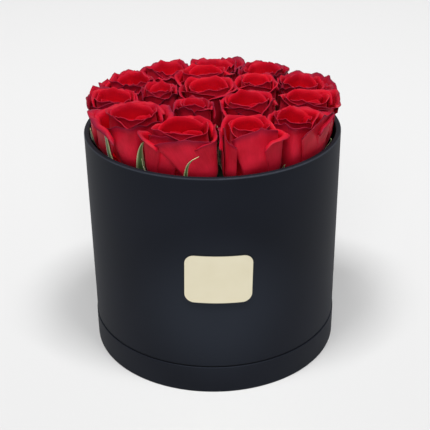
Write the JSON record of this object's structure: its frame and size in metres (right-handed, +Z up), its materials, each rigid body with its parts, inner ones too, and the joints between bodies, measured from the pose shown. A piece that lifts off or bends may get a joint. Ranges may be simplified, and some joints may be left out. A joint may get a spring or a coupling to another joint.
{
  "type": "flower box",
  "caption": "Round black paper-covered flower box in a shallow base tray, with a bare gold plate in front and red rose heads set in foam inside.",
  "frame": {"origin": "centre of the base tray's underside, on the surface that the box stands on", "axes": "+Z up along the drum's axis, -Y towards the front with the plate, +X to the right seen from the front"},
  "size_m": [0.2012, 0.2019, 0.2159],
  "materials": {
    "black_paper": "matte black soft-touch paper over board",
    "black_board": "bare black-dyed board",
    "gold_metal": "pale gold satin plate, bare",
    "tape": "white foam adhesive pad",
    "film": "thin black waterproof film",
    "foam": "matte fine-celled green flower foam",
    "green_stem": "green stem and sepals",
    "red_petal": "velvety red petals"
  },
  "bodies": {
    "tray": {"tray_disc": "black_paper", "tray_rim": "black_paper"},
    "drum": {"drum_tube": "black_board", "drum_sleeve": "black_paper", "drum_lining": "black_paper", "drum_floor": "black_paper", "plate": "gold_metal", "plate_tape": "tape"},
    "insert": {"liner": "film", "foam_lower": "foam", "foam_upper": "foam", "rose_01_stem": "green_stem", "rose_01_petals": "red_petal", "rose_02_stem": "green_stem", "rose_02_petals": "red_petal", "rose_03_stem": "green_stem", "rose_03_petals": "red_petal", "rose_04_stem": "green_stem", "rose_04_petals": "red_petal", "rose_05_stem": "green_stem", "rose_05_petals": "red_petal", "rose_06_stem": "green_stem", "rose_06_petals": "red_petal", "rose_07_stem": "green_stem", "rose_07_petals": "red_petal", "rose_08_stem": "green_stem", "rose_08_petals": "red_petal", "rose_09_stem": "green_stem", "rose_09_petals": "red_petal", "rose_10_stem": "green_stem", "rose_10_petals": "red_petal", "rose_11_stem": "green_stem", "rose_11_petals": "red_petal", "rose_12_stem": "green_stem", "rose_12_petals": "red_petal", "rose_13_stem": "green_stem", "rose_13_petals": "red_petal", "rose_14_stem": "green_stem", "rose_14_petals": "red_petal", "rose_15_stem": "green_stem", "rose_15_petals": "red_petal", "rose_16_stem": "green_stem", "rose_16_petals": "red_petal", "rose_17_stem": "green_stem", "rose_17_petals": "red_petal"}
  },
  "joints": [
    {"name": "drum_lift", "type": "slide", "parent": "tray", "child": "drum", "axis": [0, 0, 1], "range_m": [0, 0.06]},
    {"name": "insert_lift", "type": "slide", "parent": "drum", "child": "insert", "axis": [0, 0, 1], "range_m": [0, 0.2]}
  ]
}
